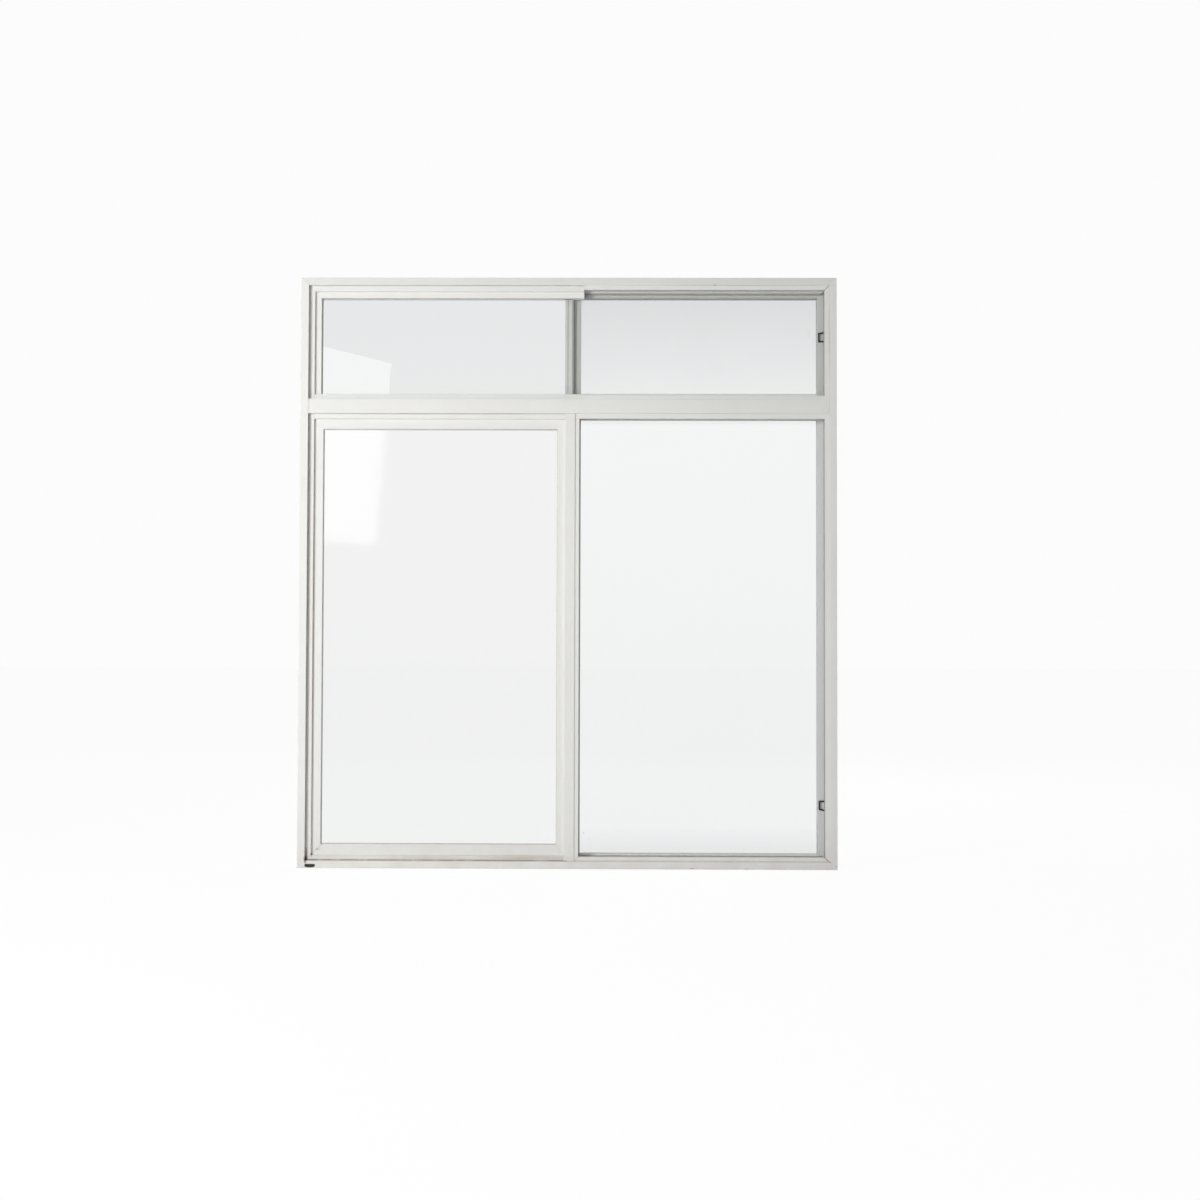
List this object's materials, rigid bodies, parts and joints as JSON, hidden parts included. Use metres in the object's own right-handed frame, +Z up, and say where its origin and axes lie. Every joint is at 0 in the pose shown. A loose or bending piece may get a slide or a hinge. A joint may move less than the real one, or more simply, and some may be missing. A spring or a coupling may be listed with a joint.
{
  "type": "horizontal sliding window",
  "caption": "White aluminium sliding window with a transom bar: fixed lites at the left in the front plane, sliding sashes at the right in the rear track.",
  "frame": {"origin": "middle of the sill's underside, half way through the frame's depth", "axes": "+X to the right seen from outside, +Y from outside to inside, +Z up"},
  "size_m": [1, 0.068, 1.1],
  "materials": {
    "white_paint": "satin white paint on aluminium, slightly dirty",
    "sash_paint": "white paint on aluminium, greyed",
    "glass": "clear float glass",
    "gasket": "grey glazing rubber",
    "black_plastic": "black moulded plastic",
    "nylon": "natural nylon"
  },
  "bodies": {
    "root": {"head": "white_paint", "left_jamb": "white_paint", "lower_lite_bottom_rail": "white_paint", "lower_lite_gasket": "gasket", "lower_lite_glass": "glass", "lower_lite_left_stile": "white_paint", "lower_lite_right_stile": "white_paint", "lower_lite_top_rail": "white_paint", "lower_mullion": "white_paint", "lower_sash_bottom_rail": "sash_paint", "lower_sash_gasket": "gasket", "lower_sash_glass": "glass", "lower_sash_interlock_stile": "sash_paint", "lower_sash_latch": "black_plastic", "lower_sash_lock_stile": "sash_paint", "lower_sash_pull": "black_plastic", "lower_sash_rollers": "nylon", "lower_sash_top_rail": "sash_paint", "lower_trim_bottom": "white_paint", "lower_trim_left": "white_paint", "lower_trim_right": "white_paint", "lower_trim_top": "white_paint", "right_jamb": "white_paint", "sill": "white_paint", "transom_bar": "white_paint", "upper_lite_bottom_rail": "white_paint", "upper_lite_gasket": "gasket", "upper_lite_glass": "glass", "upper_lite_interlock": "sash_paint", "upper_lite_left_stile": "white_paint", "upper_lite_top_rail": "white_paint", "upper_sash_bottom_rail": "sash_paint", "upper_sash_gasket": "gasket", "upper_sash_glass": "glass", "upper_sash_interlock_stile": "sash_paint", "upper_sash_latch": "black_plastic", "upper_sash_lock_stile": "sash_paint", "upper_sash_pull": "black_plastic", "upper_sash_rollers": "nylon", "upper_sash_top_rail": "sash_paint", "upper_trim_bottom": "white_paint", "upper_trim_right": "white_paint", "upper_trim_top": "white_paint"}
  },
  "joints": []
}
